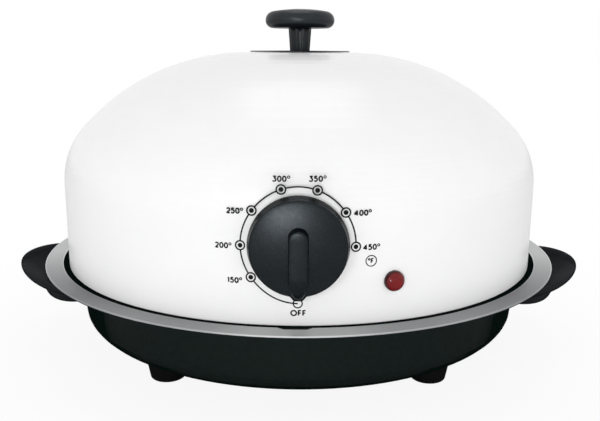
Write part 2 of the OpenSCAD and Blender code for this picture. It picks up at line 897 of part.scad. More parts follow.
module inlet_housing() {
    color([0.14, 0.14, 0.15])
        difference() {
            union() {
                on_wall(180, inlet_z)
                    intersection() {
                        inlet_block(socket_wall, 60);
                        translate([-50, -50, inlet_back - dome_r])
                            cube([100, 100, dome_r - inlet_back + inlet_out]);
                    }
                difference() {
                    on_wall(180, inlet_z)
                        translate([0, 0, -6])
                            linear_extrude(6 + inlet_out)
                                offset(r = 3)
                                    square([inlet_w - 6, inlet_h - 6], center = true);
                    cylinder(h = 2 * inlet_z, r = dome_r + lay_gap, $fn = 180);
                }
            }
            on_wall(180, inlet_z) {
                translate([0, 0, inlet_out - socket_depth])
                    linear_extrude(socket_depth + 1)
                        offset(r = 1.5)
                            square([socket_w - 3, socket_h - 3], center = true);
                for (x = [-inlet_screw_x, inlet_screw_x])
                    translate([x, 0, 0])
                        cylinder(h = 20, r = screw_r + hole_gap, center = true, $fn = 32);
                for_pins()
                    cube([pin_t + 0.1, pin_w + 0.1, 80], center = true);
            }
        }
}

// Places its children on the three pins' axes, in the inlet's own frame
module for_pins() {
    for (p = [[-pin_x, -pin_drop], [0, pin_drop], [pin_x, -pin_drop]])
        translate([p[0], p[1], 0]) children();
}

// Live, neutral and earth pins, each with a tab for its lead behind the block
module inlet_pins() {
    back_d = inlet_back - dome_r;
    tab_end = lead_r - 3.2 - dome_r;
    color("gold")
        on_wall(180, inlet_z)
            for_pins() {
                translate([-pin_t / 2, -pin_w / 2, back_d])
                    cube([pin_t, pin_w, socket_wall + pin_l]);
                translate([-tab_t / 2, -tab_w / 2, tab_end])
                    cube([tab_t, tab_w, back_d - tab_end]);
            }
}

module inlet_screws() {
    color("silver")
        on_wall(180, inlet_z)
            for (x = [-inlet_screw_x, inlet_screw_x])
                translate([x, 0, inlet_out + lay_gap]) screw(inlet_screw_l);
}

// ---- Leads ----

// The angle round the axis of a sideways distance at the leads
function about(x) = asin(x / lead_r);

// A crimp sleeve over a lead's end at one point, lying towards another
module crimp(from, to) {
    way = unit(to - from);
    translate(from)
        rotate([0, acos(way[2]), atan2(way[1], way[0])])
            translate([0, 0, -crimp_over])
                cylinder(h = crimp_l, r = crimp_r, $fn = 32);
}

// A lead with a crimp sleeve at each end
module crimped_lead(path) {
    last = len(path) - 1;
    color([0.2, 0.15, 0.12]) {
        lead(path, wire_r);
        crimp(path[0], path[1]);
        crimp(path[last], path[last - 1]);
    }
}

// The way of a lead from a low point straight up and over to a cold end's tip
function way_over(low, tip) =
    let (corner = [low[0], low[1], tip_z],
        target = [tip[0], tip[1], tip_z],
        end = target - (tip_r + lead_gap) * unit(target - corner))
    eased([low, corner, end], wire_bend);

// Live: inlet to thermostat, round the left side
module line_lead() {
    crimped_lead(ring_path(lead_r, lead_z,
        90 + about(pin_x + lead_end_gap), 270 - about(stat_tab_x + lead_end_gap)));
}

// Thermostat to the right-hand cold end, round the right side and up
module load_lead() {
    climb_a = 60;
    round_it = ring_path(lead_r, lead_z, -90 + about(stat_tab_x + lead_end_gap), climb_a);
    foot = lead_r * [cos(climb_a + 5), sin(climb_a + 5), 0] + [0, 0, lead_z];
    over = way_over(foot, [-cold_end[0], cold_end[1]]);
    crimped_lead(concat(
        [for (i = [0:len(round_it) - 2]) round_it[i]],
        eased([round_it[len(round_it) - 1], foot, over[1]], wire_bend),
        [for (i = [2:len(over) - 1]) over[i]]));
}

// Neutral: inlet to the left-hand cold end
module neutral_lead() {
    crimped_lead(way_over([-pin_x, lead_r, lead_z + tab_w / 2 + lead_gap], cold_end));
}

// Earth: inlet to the dome's wall, where its ring tag is welded
module earth_lead() {
    foot_z = inlet_z + pin_drop + tab_w / 2 + lead_gap;
    tag_t = 1;
    tag_r = 4.5;
    tag_z = foot_z + wire_bend + 4;
    tag_y = sqrt(pow(shell_in_at(tag_z + tag_r), 2) - pow(tag_r, 2)) - lay_gap;
    color([0.25, 0.4, 0.2]) {
        lead(eased([[0, lead_r, foot_z], [0, lead_r, tag_z], [0, tag_y - tag_t / 2, tag_z]],
            wire_bend), wire_r);
        translate([0, tag_y, tag_z])
            rotate([90, 0, 0])
                cylinder(h = tag_t, r = tag_r, $fn = 48);
    }
}

// Lamp leads: one up to the load lead, one round to the neutral pin
module lamp_leads() {
    side_a = -90 + lamp_az;
    off_a = about(2);
    ring_z = lead_z - wire_r - lamp_wire_r - 0.5;
    low_z = lamp_z - lamp_wire_r;
    a = side_a + off_a;
    foot = [lead_r * cos(a), lead_r * sin(a), low_z];
    color([0.85, 0.8, 0.75]) {
        rotate([0, 0, side_a - off_a])
            translate([lead_r, 0, low_z])
                cylinder(h = lead_z - wire_r - 0.2 - low_z, r = lamp_wire_r, $fn = 24);
        lead(concat(
            eased([foot, [foot[0], foot[1], ring_z],
                [lead_r * cos(a + 2), lead_r * sin(a + 2), ring_z]], 3),
            ring_path(lead_r, ring_z, a + 4, 90 - about(pin_x + lead_end_gap))),
            lamp_wire_r);
    }
}

// ---- Lid knob ----

module knob_plate() {
    color([0.1, 0.1, 0.1])
        translate([0, 0, crown_z])
            rotate_extrude($fn = 96)
                polygon([[stud_r + hole_gap, 0], [plate_r, 0], [plate_r, plate_t * 0.5],
                    [plate_r - 1, plate_t * 0.8], [stem_r, plate_t], [stud_r + hole_gap, plate_t]]);
}

// Mushroom knob: crowned cap on a fluted, tapering stem, with a blind hole for its stud
module lid_knob() {
    foot_z = crown_z + plate_t;
    stem_foot_r = stem_r - stem_taper;
    edge_c = [cap_r - cap_edge_r, cap_z + cap_under_r];
    color([0.1, 0.11, 0.11])
        difference() {
            union() {
                rotate_extrude($fn = 96)
                    polygon(concat(
                        [[0, cap_z]],
                        oval([cap_r - cap_under_r, edge_c[1]],
                            cap_under_r, cap_under_r, -90, 0, 6),
                        arc(edge_c, cap_edge_r, 0, cap_edge_a, 6),
                        arc([0, edge_c[1] + cap_edge_r + cap_crown_h - cap_crown_r],
                            cap_crown_r, cap_edge_a + 2, 90, 6)));
                translate([0, 0, foot_z])
                    cylinder(h = stem_h + eps, r1 = stem_foot_r, r2 = stem_r, $fn = 96);
            }
            for (i = [0:flutes - 1])
                rotate([0, 0, i * 360 / flutes])
                    translate([stem_foot_r + flute_r - flute_depth, 0, foot_z - 1])
                        rotate([0, atan(stem_taper / stem_h), 0])
                            cylinder(h = stem_h, r = flute_r, $fn = 48);
            translate([0, 0, foot_z - 1])
                cylinder(h = stud_grip + 1.5, r = stud_r + run_gap, $fn = 48);
        }
}

// Long stud from the knob down through the dome and the liner
module knob_stud() {
    low = ceiling_z - liner_t - washer_t - nut_h - 2;
    color("silver")
        translate([0, 0, low])
            cylinder(h = crown_z + plate_t + stud_grip - low, r = stud_r, $fn = 48);
}

module stud_spacer() {
    color("silver")
        translate([0, 0, ceiling_z])
            difference() {
                cylinder(h = crown_z - shell_t - lay_gap - ceiling_z, r = spacer_r, $fn = 48);
                translate([0, 0, -1])
                    cylinder(h = crown_z, r = stud_r + hole_gap, $fn = 48);
            }
}

module liner_washer() {
    color("silver")
        translate([0, 0, ceiling_z - liner_t - washer_t])
            difference() {
                cylinder(h = washer_t, r = washer_r, $fn = 64);
                translate([0, 0, -1])
                    cylinder(h = washer_t + 2, r = stud_r + hole_gap, $fn = 48);
            }
}

module liner_nut() {
    color("silver")
        translate([0, 0, ceiling_z - liner_t - washer_t - nut_h])
            difference() {
                cylinder(h = nut_h, r = nut_r, $fn = 6);
                translate([0, 0, -1])
                    cylinder(h = nut_h + 2, r = stud_r + run_gap, $fn = 48);
            }
}

// ---- Dial ----

// A blunt wedge from just inside the dial's edge to the tip of its nose
module nose_outline() {
    edge_y = nose_edge_r - nose_reach;
    polygon(concat(
        [[-nose_root_hw, edge_y + 6], [-nose_root_hw, edge_y + 2.6]],
        arc([-nose_tip_hw, edge_y], nose_edge_r, 219, 270, 4),
        arc([nose_tip_hw, edge_y], nose_edge_r, 270, 321, 4),
        [[nose_root_hw, edge_y + 2.6], [nose_root_hw, edge_y + 6]]));
}

// Moulded dial: a hollow tapered drum, crowned face, grip bar and pointed nose
module dial() {
    side_r = dial_face_r - dial_t;
    rise = dial_face - dial_t;
    bar_top = dial_face + grip_h;
    bar_hw = grip_w / 2;
    color([0.13, 0.14, 0.15])
        on_wall(0, dial_z)
            difference() {
                union() {
                    difference() {
                        union() {
                            rotate_extrude($fn = 96)
                                polygon(concat(
                                    [[0, dial_gap], [dial_r, dial_gap],
                                        [dial_r, dial_gap + 1]],
                                    arc([dial_face_r - 1, dial_face - 1], 1, 0, 70, 4),
                                    oval([0, dial_face - 0.1], dial_face_r - 2, dial_crown,
                                        0, 90, 6)));
                            hull() {
                                for (y = [grip_y, -nose_root])
                                    translate([0, y, dial_face - 2])
                                        cylinder(h = 2, r = bar_hw, $fn = 32);
                                for (y = [grip_y - grip_lean, -nose_root])
                                    translate([0, y, bar_top - 1.2])
                                        cylinder(h = 1.2, r1 = bar_hw - 0.6,
                                            r2 = bar_hw - 1.2, $fn = 32);
                                translate([0, nose_tip_r - nose_reach, dial_gap + 1])
                                    cylinder(h = dial_side - 1.5, r = nose_tip_r, $fn = 32);
                            }
                            translate([0, 0, dial_gap])
                                linear_extrude(dial_side - 1)
                                    nose_outline();
                        }
                        rotate_extrude($fn = 96)
                            polygon([[0, dial_gap - 1], [dial_r - dial_t, dial_gap - 1],
                                [dial_r - dial_t, dial_gap + 1], [side_r, rise],
                                [0, rise]]);
                    }
                    translate([0, 0, dial_gap + hub_lift])
                        cylinder(h = rise - dial_gap - hub_lift + eps, r = hub_r, $fn = 48);
                }
                translate([0, 0, dial_gap])
                    d_section(shaft_out - dial_gap + lay_gap, run_gap);
                translate([-hub_r - 1, hub_r - 1.6, dial_gap])
                    cube([2 * hub_r + 2, 3, 2.4]);
            }
}

// A round shaft with a flat, from z = 0 up
module d_section(h, grow) {
    difference() {
        cylinder(h = h, r = shaft_r + grow, $fn = 48);
        translate([-10, shaft_r - shaft_flat + grow, -1]) cube([20, 10, h + 2]);
    }
}

module dial_shaft() {
    in = dome_r - stat_back - 3.2;
    plain = nose_out + 0.2;
    color("silver")
        on_wall(0, dial_z) {
            translate([0, 0, -in])
                cylinder(h = in + plain + eps, r = shaft_r, $fn = 48);
            translate([0, 0, plain])
                d_section(shaft_out - plain, 0);
        }
}

// A split ring in the hub's groove that keeps the dial tight on the shaft's flat
module dial_spring() {
    color("silver")
        on_wall(0, dial_z)
            translate([0, 0, dial_gap + hub_lift + 1])
                difference() {
                    cylinder(h = 0.8, r = hub_r + 1, $fn = 48);
                    translate([0, 0, -1]) cylinder(h = 3, r = hub_r + run_gap, $fn = 48);
                    translate([-1.5, 0, -1]) cube([3, 20, 3]);
                }
}

pan();
rim_ring();
handle_left();
handle_right();
handle_screws();
foot_front_left();
foot_front_right();
foot_rear_left();
foot_rear_right();
foot_bushes();
foot_screws();
dome_shell();
liner();
heating_element();
element_bushes();
element_clips();
thermostat_body();
thermostat_tabs();
thermostat_bracket();
thermostat_screws();
sensor_bulb();
bulb_clips();
lamp_lens();
lamp_barrel();
lamp_nut();
inlet_housing();
inlet_pins();
inlet_screws();
line_lead();
load_lead();
neutral_lead();
earth_lead();
lamp_leads();
knob_plate();
lid_knob();
knob_stud();
stud_spacer();
liner_washer();
liner_nut();
dial();
dial_shaft();
dial_spring();
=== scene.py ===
"""Looks of the electric pizza maker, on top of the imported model.

Shapes are in millimetres, which MM turns into metres. Stage, lamps and camera are in metres.
"""

import json
import math

import bmesh
import bpy
from mathutils import Matrix, Vector


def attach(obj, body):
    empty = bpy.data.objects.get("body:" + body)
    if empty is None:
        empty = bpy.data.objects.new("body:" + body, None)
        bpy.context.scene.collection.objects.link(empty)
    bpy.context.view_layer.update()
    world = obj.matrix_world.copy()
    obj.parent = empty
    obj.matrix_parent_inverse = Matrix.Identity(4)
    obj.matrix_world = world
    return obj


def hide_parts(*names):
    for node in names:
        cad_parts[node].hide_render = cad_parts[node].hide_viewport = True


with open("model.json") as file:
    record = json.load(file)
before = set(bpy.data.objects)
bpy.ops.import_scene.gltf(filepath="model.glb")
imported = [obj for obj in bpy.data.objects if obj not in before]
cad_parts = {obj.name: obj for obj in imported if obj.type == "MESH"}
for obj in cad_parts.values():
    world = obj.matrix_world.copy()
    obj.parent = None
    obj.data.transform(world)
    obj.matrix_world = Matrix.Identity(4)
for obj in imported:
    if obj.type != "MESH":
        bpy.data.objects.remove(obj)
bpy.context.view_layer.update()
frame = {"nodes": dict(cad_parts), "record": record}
nodes = frame["nodes"]
MM = 0.001

# ---- Sizes that the solids share ----

DOME_R = 163.65  # outside of the dome's wall
CROWN_Z = 207.0  # top of the dome
DIAL_Z = 110.0  # axis of the dial
PRINT_Z = 109.5  # centre of the scale's print
LAMP_Z = 88.8  # centre of the lamp's lens
LAMP_DEG = 18.1  # the lens' place round the dome, to the right of the front
PAN_R = 157.0  # outside of the pan's wall at its flange


# ---- Materials ----


def linear(level):
    """The linear value of an sRGB level from 0 to 255."""
    c = level / 255
    return c / 12.92 if c <= 0.04045 else ((c + 0.055) / 1.055) ** 2.4


def rgb(r, g, b):
    return (linear(r), linear(g), linear(b), 1.0)


def grey(level):
    return rgb(level, level, level)


class Nodes:
    """A node tree that is filled from code."""

    def __init__(self, tree):
        self.tree = tree

    def node(self, kind, **settings):
        made = self.tree.nodes.new(kind)
        for key, value in settings.items():
            setattr(made, key, value)
        return made

    def link(self, out, into):
        self.tree.links.new(out, into)

    def maths(self, operation, *inputs):
        m = self.node("ShaderNodeMath", operation=operation)
        for socket, value in zip(m.inputs, inputs):
            if isinstance(value, (int, float)):
                socket.default_value = value
            else:
                self.link(value, socket)
        return m.outputs["Value"]

    def map_range(self, value, before, after, **settings):
        """A value carried from one range, as (low, high), to another."""
        m = self.node("ShaderNodeMapRange", **settings)
        for socket, limit in zip(("From Min", "From Max", "To Min", "To Max"), (*before, *after)):
            m.inputs[socket].default_value = limit
        self.link(value, m.inputs["Value"])
        return m.outputs["Result"]

    def mix_shaders(self, share, first, second):
        mix = self.node("ShaderNodeMixShader")
        for socket, out in zip(mix.inputs, (share, first, second)):
            self.link(out, socket)
        return mix.outputs["Shader"]


class Shader(Nodes):
    """A Principled material whose colour, roughness and relief come from nodes."""

    NOISE_BAND = (0.3, 0.7)  # where nearly all values of a noise lie
    FACING_BAND = (0.1, 0.68)  # Facing values between which gloss() passes from front to edge

    def __init__(self, name, rough, metallic=0.0, specular=0.5, tint=(1.0, 1.0, 1.0)):
        self.mat = bpy.data.materials.new(name)
        self.mat.use_nodes = True
        super().__init__(self.mat.node_tree)
        self.bsdf = self.tree.nodes["Principled BSDF"]
        self.set("Roughness", rough)
        self.set("Metallic", metallic)
        self.set("Specular IOR Level", specular)
        self.set("Specular Tint", (*tint, 1.0))
        self.coords = self.node("ShaderNodeTexCoord").outputs["Object"]

    def set(self, socket, value):
        self.bsdf.inputs[socket].default_value = value

    def drive(self, socket, out):
        self.link(out, self.bsdf.inputs[socket])
        return self

    def split(self):
        """The x, y and z of a point of the object, in metres."""
        split = self.node("ShaderNodeSeparateXYZ")
        self.link(self.coords, split.inputs["Vector"])
        return split.outputs

    def length(self, a, b):
        """Distance of a point (a, b) from the origin."""
        squares = self.maths("ADD", self.maths("MULTIPLY", a, a), self.maths("MULTIPLY", b, b))
        return self.maths("POWER", squares, 0.5)

    def noise(self, scale, detail, vector=None):
        n = self.node("ShaderNodeTexNoise")
        n.inputs["Scale"].default_value = scale
        n.inputs["Detail"].default_value = detail
        self.link(vector or self.coords, n.inputs["Vector"])
        return n.outputs["Fac"]

    def ramp(self, value, stops):
        r = self.node("ShaderNodeValToRGB")
        while len(r.color_ramp.elements) < len(stops):
            r.color_ramp.elements.new(0.5)
        for element, (at, color) in zip(r.color_ramp.elements, stops):
            element.position = at
            element.color = color
        self.link(value, r.inputs["Fac"])
        return r.outputs["Color"]

    def multiply_colors(self, first, second):
        mix = self.node("ShaderNodeMix", data_type="RGBA", blend_type="MULTIPLY")
        mix.inputs["Factor"].default_value = 1.0
        color_a, color_b = mix.inputs[6:8]
        self.link(first, color_a)
        self.link(second, color_b)
        return mix.outputs[2]

    def mottle(self, dark, light, scale, detail, vector=None):
        return self.ramp(self.noise(scale, detail, vector), [(0.35, dark), (0.65, light)])

    def color(self, dark, light, scale, detail=3.0, vector=None):
        return self.drive("Base Color", self.mottle(dark, light, scale, detail, vector))

    def rough(self, low, high, scale, vector=None):
        marks = self.noise(scale, 4.0, vector)
        return self.drive("Roughness", self.map_range(marks, self.NOISE_BAND, (low, high)))

    def relief(self, scale, height_mm, detail=3.0, vector=None):
        b = self.node("ShaderNodeBump")
        b.inputs["Distance"].default_value = height_mm * MM
        self.link(self.noise(scale, detail, vector), b.inputs["Height"])
        return self.drive("Normal", b.outputs["Normal"])

    def gloss(self, front, edge):
        """Specular level that falls from front-on to grazing views, for a satin black."""
        facing = self.node("ShaderNodeLayerWeight").outputs["Facing"]
        level = self.map_range(facing, self.FACING_BAND, (front, edge))
        return self.drive("Specular IOR Level", level)

    def turned(self, across, along):
        """Coordinates for marks left by turning: fine across the radius, long around the axis."""
        x, y, z = self.split()
        join = self.node("ShaderNodeCombineXYZ")
        self.link(self.maths("MULTIPLY", self.length(x, y), across), join.inputs["X"])
        swing = self.maths("SINE", self.maths("ARCTAN2", y, x))
        self.link(self.maths("MULTIPLY", swing, along), join.inputs["Y"])
        self.link(self.maths("MULTIPLY", z, across), join.inputs["Z"])
        return join.outputs["Vector"]


def rim_metal():
    """Bright sheet turned in a lathe, with painted reflection round the ring and painted edge
    highlights.
    """
    inner_r, width = 167.4, 11.8
    ring = Shader("brushed_rim", 0.36, metallic=1.0)
    lines = ring.turned(5200.0, 5.0)
    ring.rough(0.3, 0.44, 1.0, lines).relief(1.0, 0.004, 4.0, lines)
    metal = ring.mottle(rgb(219, 221, 221), rgb(238, 240, 240), 1.0, 4.0, lines)
    x, y, _ = ring.split()
    # Half turns from the front, on either side
    turn = ring.maths("ABSOLUTE", ring.maths("ARCTAN2", x, ring.maths("MULTIPLY", y, -1.0)))
    # Painted reflection: the ring's colour is lighter and darker by its turn from the front, for
    # what it mirrors
    painted_reflection = ring.ramp(ring.maths("DIVIDE", turn, math.pi), [
        (0.0, grey(240)), (0.04, grey(236)), (0.09, rgb(205, 205, 206)),
        (0.13, rgb(198, 198, 199)), (0.165, rgb(203, 203, 204)), (0.22, rgb(184, 184, 186)),
        (0.27, rgb(160, 160, 162)), (0.31, rgb(168, 168, 170)), (0.38, rgb(205, 205, 206)),
        (0.46, grey(250))])
    # Painted highlights along both edges, by shares of the ring's width from its inner edge to its
    # outer one
    out = ring.maths("SUBTRACT", ring.length(x, y), inner_r * MM)
    painted_edge_highlights = ring.ramp(ring.maths("DIVIDE", out, width * MM), [
        (0.0, grey(255)), (0.04, grey(236)), (0.08, grey(200)),
        (0.93, grey(200)), (0.97, grey(246)), (1.0, grey(255))])
    for tone in (painted_reflection, painted_edge_highlights):
        metal = ring.multiply_colors(metal, tone)
    return ring.drive("Base Color", metal)


def red_lens():
    """Tinted plastic, with painted shade in a band along the lens' edge."""
    lens_r = 5.7
    lens = Shader("red_lens", 0.1, specular=0.3)
    lens.set("Transmission Weight", 0.2)
    lens.set("IOR", 1.49)
    lens.rough(0.08, 0.14, 200.0)
    turn = math.radians(LAMP_DEG)
    x, y, z = lens.split()
    side = lens.maths("ADD", lens.maths("MULTIPLY", x, math.cos(turn)),
                      lens.maths("MULTIPLY", y, math.sin(turn)))
    from_axis = lens.length(side, lens.maths("SUBTRACT", z, LAMP_Z * MM))
    # Painted shade: the red darkens in a band along the lens' edge
    shade = lens.ramp(lens.maths("DIVIDE", from_axis, lens_r * MM), [
        (0.0, rgb(140, 14, 16)), (0.8, rgb(132, 8, 16)), (0.92, rgb(84, 6, 18)),
        (1.0, rgb(56, 4, 16))])
    grain = lens.ramp(lens.noise(300.0, 2.0), [(0.3, grey(225)), (0.7, grey(255))])
    return lens.drive("Base Color", lens.multiply_colors(shade, grain))


def liner_steel():
    """Aluminised sheet with the marks of its rolling and pressing."""
    liner = Shader("aluminised_sheet", 0.34, metallic=1.0)
    rolled = liner.turned(900.0, 8.0)
    return (
        liner.color(rgb(186, 187, 188), rgb(204, 205, 206), 1.0, 5.0, rolled)
        .rough(0.28, 0.46, 40.0)
        .relief(1.0, 0.008, 4.0, rolled)
    )


def woven(name, dark, light):
    return Shader("woven_" + name, 0.75).color(dark, light, 1500.0, 5.0).relief(2600.0, 0.05)


# The finish of every material slot in the record, and of the print's ink
FINISHES = {
    "dome_enamel": Shader("white_enamel", 0.26, specular=0.3).color(grey(249), grey(250), 60.0),
    "pan_coating": (
        Shader("nonstick_black", 0.44, tint=(0.8, 1.0, 0.96))
        .color(rgb(8, 17, 15), rgb(13, 22, 20), 320.0, 6.0)
        .rough(0.4, 0.5, 90.0)
        .relief(1600.0, 0.008)
        .gloss(0.15, 0.0)
    ),
    "rim_metal": rim_metal(),
    "handle_plastic": (
        Shader("handle_black", 0.46, tint=(0.9, 0.96, 1.0))
        .color(rgb(15, 17, 20), rgb(20, 22, 25), 120.0, 5.0)
        .rough(0.4, 0.48, 240.0)
        .relief(2600.0, 0.006, 2.0)
        .gloss(0.22, 0.003)
    ),
    "foot_plastic": (
        Shader("foot_black", 0.55)
        .color(rgb(9, 9, 10), rgb(13, 13, 14), 150.0, 5.0)
        .rough(0.5, 0.62, 300.0)
        .relief(2400.0, 0.01, 2.0)
        .gloss(0.1, 0.02)
    ),
    "knob_plastic": (
        Shader("knob_black", 0.34, tint=(0.9, 0.96, 1.0))
        .color(rgb(18, 22, 25), rgb(22, 26, 30), 140.0, 5.0)
        .rough(0.31, 0.38, 300.0)
        .relief(2600.0, 0.004, 2.0)
        .gloss(0.4, 0.1)
    ),
    "dial_plastic": (
        Shader("dial_black", 0.27, tint=(0.82, 0.93, 1.0))
        .color(rgb(10, 14, 17), rgb(14, 18, 21), 140.0, 5.0)
        .rough(0.26, 0.29, 300.0)
        .relief(2800.0, 0.004, 2.0)
        .gloss(0.25, 0.055)
    ),
    "lens_plastic": red_lens(),
    "lamp_plastic": (
        Shader("lamp_white", 0.5)
        .color(rgb(225, 222, 212), rgb(234, 231, 222), 200.0)
        .relief(1800.0, 0.01)
    ),
    "inlet_plastic": (
        Shader("inlet_black", 0.48, specular=0.35)
        .color(rgb(26, 26, 28), rgb(33, 33, 35), 160.0, 5.0)
        .rough(0.42, 0.55, 300.0)
        .relief(2200.0, 0.012, 2.0)
    ),
    "zinc_steel": (
        Shader("zinc_plate", 0.32, metallic=1.0)
        .color(rgb(196, 198, 202), rgb(216, 217, 218), 240.0, 5.0)
        .rough(0.24, 0.42, 500.0)
        .relief(1500.0, 0.01)
    ),
    "liner_steel": liner_steel(),
    "element_sheath": (
        Shader("oxidised_sheath", 0.55, metallic=0.7)
        .color(rgb(88, 82, 78), rgb(116, 110, 104), 160.0, 6.0)
        .rough(0.45, 0.65, 320.0)
        .relief(1400.0, 0.03, 4.0)
    ),
    "bush_ceramic": (
        Shader("unglazed_ceramic", 0.7)
        .color(rgb(226, 221, 208), rgb(238, 234, 224), 260.0, 5.0)
        .relief(1800.0, 0.03, 4.0)
    ),
    "thermostat_case": (
        Shader("cream_ceramic", 0.45)
        .color(rgb(206, 200, 184), rgb(220, 214, 200), 120.0, 5.0)
        .relief(900.0, 0.02)
    ),
    "contact_brass": (
        Shader("bright_brass", 0.3, metallic=1.0)
        .color(rgb(198, 164, 92), rgb(218, 186, 112), 300.0, 4.0)
        .rough(0.22, 0.4, 500.0)
    ),
    "capillary_copper": (
        Shader("copper_tube", 0.32, metallic=1.0)
        .color(rgb(184, 112, 78), rgb(208, 134, 96), 200.0, 4.0)
        .rough(0.25, 0.42, 400.0)
    ),
    "lead_sleeve": woven("lead_sleeve", rgb(46, 38, 33), rgb(66, 56, 50)),
    "earth_sleeve": woven("earth_sleeve", rgb(50, 88, 42), rgb(72, 112, 60)),
    "lamp_sleeve": woven("lamp_sleeve", rgb(204, 196, 178), rgb(222, 214, 198)),
    "scale_ink": (
        Shader("scale_print", 0.5, specular=0.1)
        .color(rgb(16, 16, 19), rgb(22, 22, 25), 900.0, 4.0)
    ),
}


def dress(obj, slot):
    obj.data.materials.clear()
    obj.data.materials.append(FINISHES[slot].mat)


for part in frame["record"]["subparts"]:
    dress(nodes[part["node"]], part["material_slot"])


# ---- Mesh helpers ----

ON_AXIS = 0.02  # radius of the smallest ring, so that every ring has as many points


def new_object(name, verts, faces, merge):
    """An object of a mesh given in millimetres, with its faces turned outward."""
    mesh = bpy.data.meshes.new(name)
    mesh.from_pydata([tuple(c * MM for c in v) for v in verts], [], faces)
    bm = bmesh.new()
    bm.from_mesh(mesh)
    if merge:
        bmesh.ops.remove_doubles(bm, verts=bm.verts, dist=MM / 1000)
    bmesh.ops.recalc_face_normals(bm, faces=bm.faces)
    bm.to_mesh(mesh)
    bm.free()
    obj = bpy.data.objects.new(name, mesh)
    bpy.context.scene.collection.objects.link(obj)
    return obj


def add_mesh(name, verts, faces, slot, body, sharp_deg):
    """A mesh piece that rides on a body and takes a slot's finish."""
    obj = new_object(name, verts, faces, merge=True)
    mesh = obj.data
    mesh.polygons.foreach_set("use_smooth", [True] * len(mesh.polygons))
    mesh.set_sharp_from_angle(angle=math.radians(sharp_deg))
    dress(obj, slot)
    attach(obj, body)
    return obj


def skin(rings, closed_ends=True):
    """Vertices and faces of a skin over rings of as many points each."""
    n = len(rings[0])
    verts = [p for ring in rings for p in ring]
    faces = [
        (j * n + i, j * n + (i + 1) % n, (j + 1) * n + (i + 1) % n, (j + 1) * n + i)
        for j in range(len(rings) - 1)
        for i in range(n)
    ]
    if closed_ends:
        faces.append(tuple(range(n - 1, -1, -1)))
        faces.append(tuple(range(len(verts) - n, len(verts))))
    return verts, faces


def join(parts):
    """One vertex and face list out of several."""
    verts, faces = [], []
    for v, f in parts:
        start = len(verts)
        verts += v
        faces += [tuple(start + i for i in face) for face in f]
    return verts, faces


def turns(steps):
    """Angles in radians that share out a full turn."""
    return [2 * math.pi * i / steps for i in range(steps)]


def arc(cx, cy, rx, ry, a0, a1, n):
    """Points along an elliptical arc, by angles in degrees."""
    return [
        (cx + rx * math.cos(math.radians(a0 + (a1 - a0) * i / n)),
         cy + ry * math.sin(math.radians(a0 + (a1 - a0) * i / n)))
        for i in range(n + 1)
    ]


def loop(x, y, r, steps):
    """Points round a circle, without the first one again at the end."""
    return arc(x, y, r, r, 0, 360 - 360 / steps, steps - 1)


def lathe(profile, steps, radius=lambda r, z, a: r):
    """Skin of a profile of (r, z) points turned about Z. radius(r, z, angle) may shape it."""
    rings = []
    for r, z in profile:
        radii = [(radius(max(r, ON_AXIS), z, a), a) for a in turns(steps)]
        rings.append([(rr * math.cos(a), rr * math.sin(a), z) for rr, a in radii])
    return skin(rings)


# ---- Lid knob ----


def lid_knob():
    """Crowned mushroom cap on a fluted, tapering stem."""
    plate_t, stem_h, stem_low_r, stem_top_r = 1.0, 15.3, 6.95, 7.95
    fillet_w, fillet_h, fillet_steps = 0.95, 0.9, 5
    cap_r, mid_r, under, edge, crown_h = 24.1, 12.0, 5.2, 6.2, 1.5
    flutes, flute_depth, flute_power, flute_fade, flute_gap = 10, 0.85, 0.62, 1.4, 0.35
    stem_steps, arc_steps, edge_steps = 14, 14, 10
    foot_z = CROWN_Z + plate_t
    cap_z = foot_z + stem_h
    flat = cap_r - edge
    edge_a = 90 - 2 * math.degrees(math.atan(crown_h / flat))
    crown_r = flat / math.cos(math.radians(edge_a)) + edge
    crown_c = cap_z + under + edge + crown_h - crown_r
    profile = [(stem_low_r + (stem_top_r - stem_low_r) * k / stem_steps,
                foot_z + (stem_h - fillet_h) * k / stem_steps) for k in range(stem_steps + 1)]
    profile += arc(stem_top_r + fillet_w, cap_z - fillet_h, fillet_w, fillet_h, 180, 90,
                   fillet_steps)
    profile += [(mid_r, cap_z), (cap_r - under - 1, cap_z)]
    profile += arc(cap_r - under, cap_z + under, under, under, -90, 0, arc_steps)
    profile += arc(cap_r - edge, cap_z + under, edge, edge, 4, edge_a, edge_steps)
    profile += arc(0, crown_c, crown_r, crown_r, edge_a + 1.5, 90, arc_steps)

    def fluted(r, z, a):
        """The stem's radius at a height and angle, with its flutes fading out under the cap."""
        if z > cap_z - flute_gap or r > 9.5:
            return r
        fade = min(1.0, (cap_z - flute_gap - z) / flute_fade)
        wave = math.cos(flutes * (a + math.pi / 2))
        hollow = max(0.0, 0.5 + 0.5 * wave) ** flute_power
        return r - flute_depth * fade * hollow

    v, f = lathe(profile, 240, fluted)
    piece = add_mesh("knob_moulding", v, f, "knob_plastic", "dome", 50)
    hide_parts("lid_knob")


# ---- Dial ----


def on_wall(x, y, out):
    """A point in front of the dome's wall at the dial: right, up and outward of its axis."""
    return (x, -(DOME_R + out), DIAL_Z + y)


def blended(d1, d2, k):
    """The smaller of two distances, blended over a width k where they are alike."""
    h = max(k - abs(d1 - d2), 0.0) / k
    return min(d1, d2) - h * h * k * 0.25


def nose_distance(x, y, inset):
    """Distance to a wide wedge that points down to a blunt tip with rounded corners."""
    half, edge_y, edge_r, slope = 1.75, -26.7, 1.2, math.radians(51)
    x, y = abs(x) - half, y - edge_y
    along = x * math.cos(slope) + y * math.sin(slope)
    across = x * math.sin(slope) - y * math.cos(slope)
    if x <= 0:
        d = max(-y, across)
    elif along > 0:
        d = across
    else:
        d = math.hypot(x, y)
    return d - edge_r + inset


